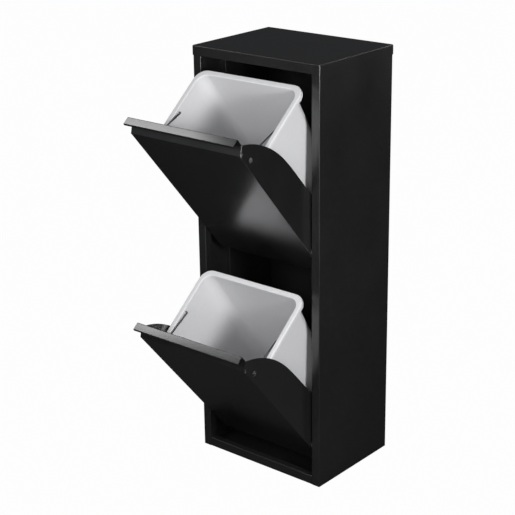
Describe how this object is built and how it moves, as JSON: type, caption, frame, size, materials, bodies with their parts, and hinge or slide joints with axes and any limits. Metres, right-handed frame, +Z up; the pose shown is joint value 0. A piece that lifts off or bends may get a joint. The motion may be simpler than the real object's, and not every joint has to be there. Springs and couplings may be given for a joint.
{
  "type": "tilt-out waste cabinet",
  "caption": "Slim black sheet-steel waste cabinet with tilt-out doors one above the other, each carrying a lift-out grey plastic bucket with a wire bail.",
  "frame": {"origin": "on the floor, at the middle of the underside of the cabinet's floor sheet", "axes": "+X to the right seen from the front, +Y towards the back, +Z up"},
  "size_m": [0.3206, 0.4613, 0.885],
  "materials": {
    "cabinet_steel": "satin black powder coat with a very fine texture",
    "door_steel": "satin black powder coat with a very fine texture",
    "bucket_plastic": "light grey moulded plastic, fine matt grain",
    "bail_wire": "dark drawn steel wire",
    "zinc_steel": "bright zinc plate",
    "nylon": "natural nylon",
    "rubber": "matt black rubber"
  },
  "bodies": {
    "cabinet": {"left_side_panel": "cabinet_steel", "right_side_panel": "cabinet_steel", "back_panel": "cabinet_steel", "floor_panel": "cabinet_steel", "top_cover": "cabinet_steel", "top_rail": "cabinet_steel", "bottom_rail": "cabinet_steel", "left_stiffener": "cabinet_steel", "right_stiffener": "cabinet_steel", "lower_rest_bar": "cabinet_steel", "upper_rest_bar": "cabinet_steel", "lower_hinge_pin_left": "zinc_steel", "lower_hinge_washer_left": "nylon", "lower_stop_left": "rubber", "lower_rest_pad_left": "rubber", "lower_hinge_pin_right": "zinc_steel", "lower_hinge_washer_right": "nylon", "lower_stop_right": "rubber", "lower_rest_pad_right": "rubber", "upper_hinge_pin_left": "zinc_steel", "upper_hinge_washer_left": "nylon", "upper_stop_left": "rubber", "upper_rest_pad_left": "rubber", "upper_hinge_pin_right": "zinc_steel", "upper_hinge_washer_right": "nylon", "upper_stop_right": "rubber", "upper_rest_pad_right": "rubber", "back_rivet_upper_left": "zinc_steel", "back_rivet_upper_right": "zinc_steel", "back_rivet_middle_left": "zinc_steel", "back_rivet_middle_right": "zinc_steel", "back_rivet_lower_left": "zinc_steel", "back_rivet_lower_right": "zinc_steel"},
    "lower_door": {"lower_door": "door_steel", "lower_bucket_shelf": "cabinet_steel"},
    "upper_door": {"upper_door": "door_steel", "upper_bucket_shelf": "cabinet_steel"},
    "lower_bucket": {"lower_bucket": "bucket_plastic"},
    "upper_bucket": {"upper_bucket": "bucket_plastic"},
    "lower_bail": {"lower_bail": "bail_wire"},
    "upper_bail": {"upper_bail": "bail_wire"}
  },
  "joints": [
    {"name": "upper_door_tilt", "type": "hinge", "parent": "cabinet", "child": "upper_door", "pos_m": [0, -0.1085, 0.5106], "axis": [1, 0, 0], "range_deg": [-40.1, 0]},
    {"name": "lower_door_tilt", "type": "hinge", "parent": "cabinet", "child": "lower_door", "pos_m": [0, -0.1085, 0.0888], "axis": [1, 0, 0], "range_deg": [-40.1, 0]},
    {"name": "upper_bucket_lift", "type": "slide", "parent": "upper_door", "child": "upper_bucket", "axis": [0, -0.6441, 0.7649], "range_m": [0, 0.33]},
    {"name": "lower_bucket_lift", "type": "slide", "parent": "lower_door", "child": "lower_bucket", "axis": [0, -0.6441, 0.7649], "range_m": [0, 0.33]},
    {"name": "upper_bail_swing", "type": "hinge", "parent": "upper_bucket", "child": "upper_bail", "pos_m": [0, -0.20258, 0.76981], "axis": [-1, 0, 0], "range_deg": [-8.5, 155.5]},
    {"name": "lower_bail_swing", "type": "hinge", "parent": "lower_bucket", "child": "lower_bail", "pos_m": [0, -0.20258, 0.34801], "axis": [-1, 0, 0], "range_deg": [0, 164]}
  ]
}
